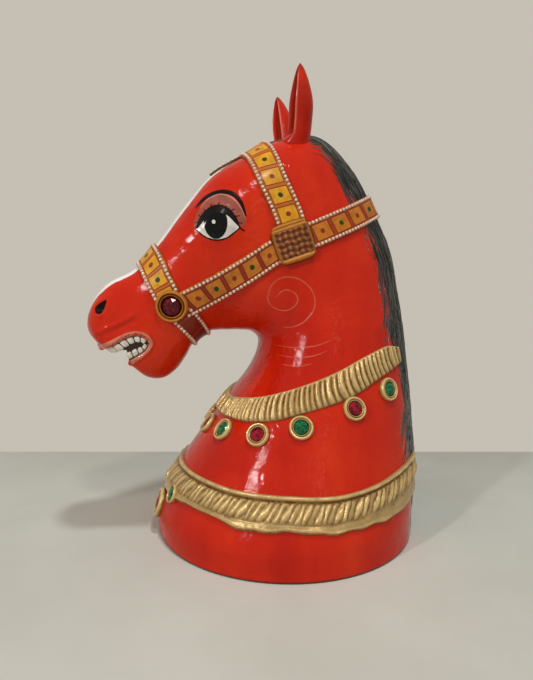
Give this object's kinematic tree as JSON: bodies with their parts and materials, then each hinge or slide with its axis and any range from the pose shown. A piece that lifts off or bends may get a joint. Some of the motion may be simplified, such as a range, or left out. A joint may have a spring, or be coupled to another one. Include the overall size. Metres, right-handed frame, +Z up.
{
  "type": "carved wooden horse",
  "caption": "Carved and painted wooden horse bust on a flat round foot, with doweled ears, a raised jewelled bridle, a ribbed gold collar and a gold band round the foot; a standing ornament.",
  "frame": {"origin": "centre of the flat foot, on the surface it stands on", "axes": "+Z up through the neck; the horse looks along -X; its left side is -Y"},
  "size_m": [0.2762, 0.224, 0.3777],
  "materials": {
    "red_lacquer": "glossy orange-red lacquer with painted eyes, teeth, nostrils and mane",
    "bare_wood": "bare",
    "strap_paint": "satin amber paint with painted squares and white dots",
    "antique_gold": "satin antique gold paint",
    "gold_paint": "satin gold paint",
    "red_stone": "foil-backed cut glass, red",
    "green_stone": "foil-backed cut glass, green"
  },
  "bodies": {
    "root": {"carved_bust": "red_lacquer", "left_ear": "red_lacquer", "right_ear": "red_lacquer", "left_ear_dowel": "bare_wood", "right_ear_dowel": "bare_wood", "browband": "strap_paint", "crown_strap": "strap_paint", "left_cheek_strap": "strap_paint", "right_cheek_strap": "strap_paint", "noseband": "strap_paint", "chin_strap": "strap_paint", "forehead_drop": "strap_paint", "left_rosette": "antique_gold", "right_rosette": "antique_gold", "left_bit_boss": "antique_gold", "right_bit_boss": "antique_gold", "left_bit_stone": "red_stone", "right_bit_stone": "red_stone", "neck_collar": "gold_paint", "foot_band": "gold_paint", "left_collar_bezel_1": "gold_paint", "right_collar_bezel_1": "gold_paint", "left_collar_stone_1": "green_stone", "right_collar_stone_1": "green_stone", "left_collar_bezel_2": "gold_paint", "right_collar_bezel_2": "gold_paint", "left_collar_stone_2": "red_stone", "right_collar_stone_2": "red_stone", "left_collar_bezel_3": "gold_paint", "right_collar_bezel_3": "gold_paint", "left_collar_stone_3": "green_stone", "right_collar_stone_3": "green_stone", "left_collar_bezel_4": "gold_paint", "right_collar_bezel_4": "gold_paint", "left_collar_stone_4": "red_stone", "right_collar_stone_4": "red_stone", "left_collar_bezel_5": "gold_paint", "right_collar_bezel_5": "gold_paint", "left_collar_stone_5": "green_stone", "right_collar_stone_5": "green_stone", "front_bezel": "gold_paint", "front_stone": "red_stone", "left_band_bezel": "gold_paint", "right_band_bezel": "gold_paint", "left_band_stone": "green_stone", "right_band_stone": "green_stone", "front_pendant": "gold_paint", "pendant_stone": "red_stone"}
  },
  "joints": []
}
